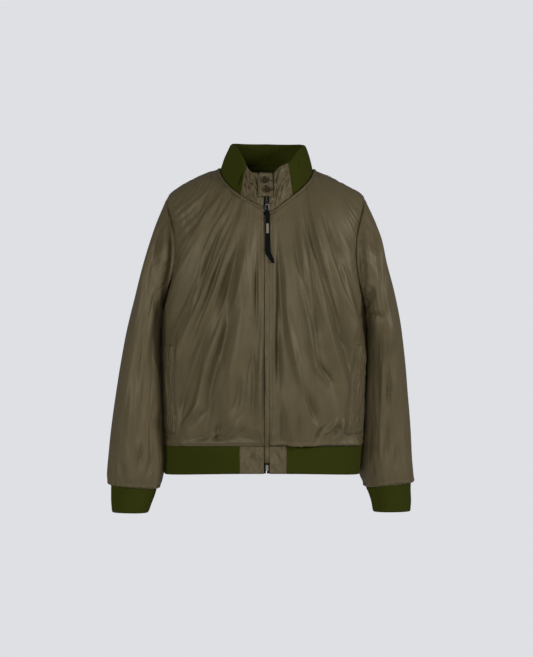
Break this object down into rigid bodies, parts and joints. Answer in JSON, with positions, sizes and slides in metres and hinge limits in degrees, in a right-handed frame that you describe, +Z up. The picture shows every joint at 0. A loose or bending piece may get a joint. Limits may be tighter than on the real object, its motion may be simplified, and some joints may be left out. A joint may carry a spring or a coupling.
{
  "type": "nylon swing jacket",
  "caption": "Hollow worn-form blouson jacket with stand collar, buttoned collar tab, front zip, slanted pocket welts, rib-knit collar, cuffs and hem band.",
  "frame": {"origin": "middle of the neck, level with where the shoulder line meets the neck", "axes": "+Z up, -Y the front of the jacket, +X the wearer's left"},
  "size_m": [0.6424, 0.2668, 0.7815],
  "materials": {
    "nylon": "woven nylon, soft sheen",
    "rib": "rib knit, matt",
    "tape": "woven zip tape",
    "metal": "polished nickel",
    "resin": "polished horn-like resin",
    "strap": "woven strap, matt",
    "label": "woven label, bare"
  },
  "bodies": {
    "jacket": {"front_right_panel": "nylon", "front_left_panel": "nylon", "back_panel": "nylon", "sleeve_right": "nylon", "sleeve_left": "nylon", "hem_end_right": "nylon", "hem_end_left": "nylon", "collar_end_right": "nylon", "collar_end_left": "nylon", "collar_tab": "nylon", "neck_binding": "nylon", "pocket_welt_right": "nylon", "pocket_welt_left": "nylon", "fly_strip": "nylon", "cuff_right": "rib", "cuff_left": "rib", "hem_rib": "rib", "collar_rib": "rib", "zip_tape_right": "tape", "zip_tape_left": "tape", "zip_slider": "metal", "zip_box": "metal", "button_upper": "resin", "button_lower": "resin"},
    "zip_pull": {"pull_ring": "metal", "pull_strap": "strap", "pull_label": "label"}
  },
  "joints": [
    {"name": "pull_swing", "type": "hinge", "parent": "jacket", "child": "zip_pull", "pos_m": [0.0012, -0.10649, -0.07894], "axis": [-1, 0, 0], "range_deg": [0, 150]}
  ]
}
